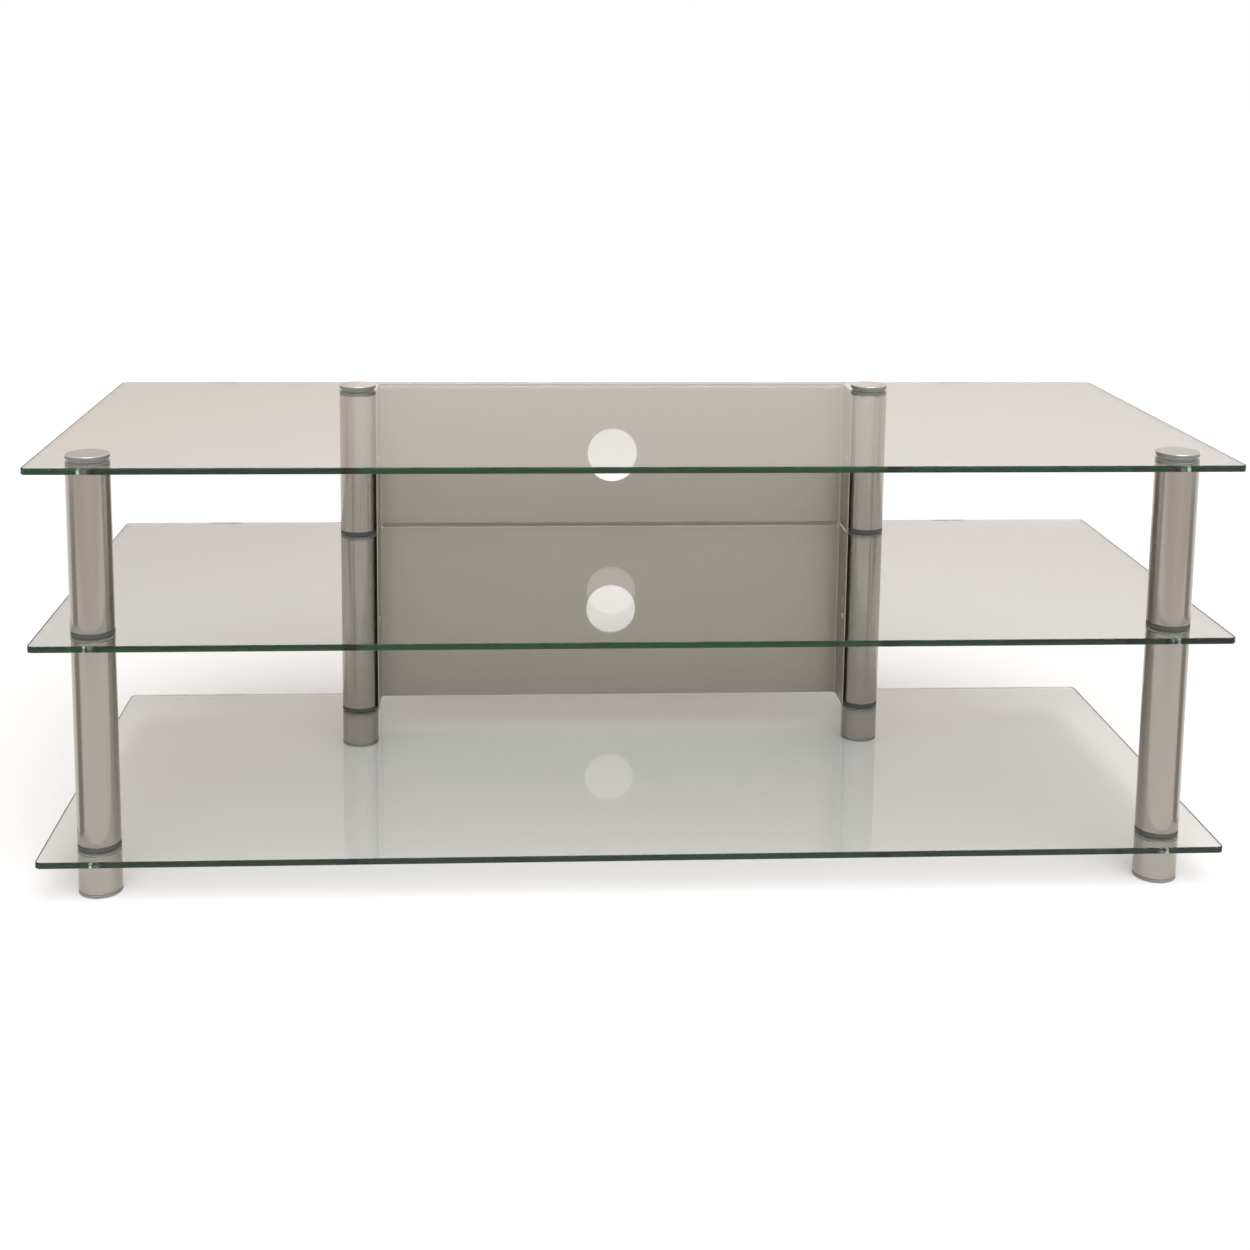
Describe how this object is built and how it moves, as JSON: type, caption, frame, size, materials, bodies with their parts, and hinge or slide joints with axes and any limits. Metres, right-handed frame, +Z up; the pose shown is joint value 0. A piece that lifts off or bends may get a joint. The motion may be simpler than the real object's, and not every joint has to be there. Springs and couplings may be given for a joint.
{
  "type": "tv stand",
  "caption": "Low television stand of clear glass shelves clamped on satin tubular posts, with folded grey back panels that have round cable holes.",
  "frame": {"origin": "on the floor, under the middle of the shelves", "axes": "+X to the right seen from the front, +Y to the back, +Z up"},
  "size_m": [1.1, 0.45, 0.4146],
  "materials": {
    "clear_glass": "clear float glass, flat polished green edges",
    "satin_tube": "satin, brushed along the tube",
    "dark_plastic": "matt moulded",
    "grey_plastic": "matt moulded",
    "clear_vinyl": "translucent soft plastic",
    "bright_chrome": "polished plate",
    "zinc_steel": "bright zinc plate",
    "satin_sheet": "satin grey metallic paint"
  },
  "bodies": {
    "root": {"bottom_shelf": "clear_glass", "middle_shelf": "clear_glass", "top_shelf": "clear_glass", "upper_back_panel": "satin_sheet", "lower_back_panel": "satin_sheet", "front_left_foot_plug": "grey_plastic", "front_left_foot_tube": "satin_tube", "front_left_foot_collar": "clear_vinyl", "front_left_lower_ring": "dark_plastic", "front_left_lower_tube": "satin_tube", "front_left_lower_collar": "clear_vinyl", "front_left_upper_ring": "dark_plastic", "front_left_upper_tube": "satin_tube", "front_left_upper_collar": "clear_vinyl", "front_left_cap_washer": "clear_vinyl", "front_left_top_cap": "bright_chrome", "front_left_clamp_bolt": "zinc_steel", "front_right_foot_plug": "grey_plastic", "front_right_foot_tube": "satin_tube", "front_right_foot_collar": "clear_vinyl", "front_right_lower_ring": "dark_plastic", "front_right_lower_tube": "satin_tube", "front_right_lower_collar": "clear_vinyl", "front_right_upper_ring": "dark_plastic", "front_right_upper_tube": "satin_tube", "front_right_upper_collar": "clear_vinyl", "front_right_cap_washer": "clear_vinyl", "front_right_top_cap": "bright_chrome", "front_right_clamp_bolt": "zinc_steel", "rear_left_foot_plug": "grey_plastic", "rear_left_foot_tube": "satin_tube", "rear_left_foot_collar": "clear_vinyl", "rear_left_lower_ring": "dark_plastic", "rear_left_lower_tube": "satin_tube", "rear_left_lower_collar": "clear_vinyl", "rear_left_upper_ring": "dark_plastic", "rear_left_upper_tube": "satin_tube", "rear_left_upper_collar": "clear_vinyl", "rear_left_cap_washer": "clear_vinyl", "rear_left_top_cap": "bright_chrome", "rear_left_clamp_bolt": "zinc_steel", "rear_left_lower_screw": "zinc_steel", "rear_left_upper_screw": "zinc_steel", "rear_right_foot_plug": "grey_plastic", "rear_right_foot_tube": "satin_tube", "rear_right_foot_collar": "clear_vinyl", "rear_right_lower_ring": "dark_plastic", "rear_right_lower_tube": "satin_tube", "rear_right_lower_collar": "clear_vinyl", "rear_right_upper_ring": "dark_plastic", "rear_right_upper_tube": "satin_tube", "rear_right_upper_collar": "clear_vinyl", "rear_right_cap_washer": "clear_vinyl", "rear_right_top_cap": "bright_chrome", "rear_right_clamp_bolt": "zinc_steel", "rear_right_lower_screw": "zinc_steel", "rear_right_upper_screw": "zinc_steel"}
  },
  "joints": []
}
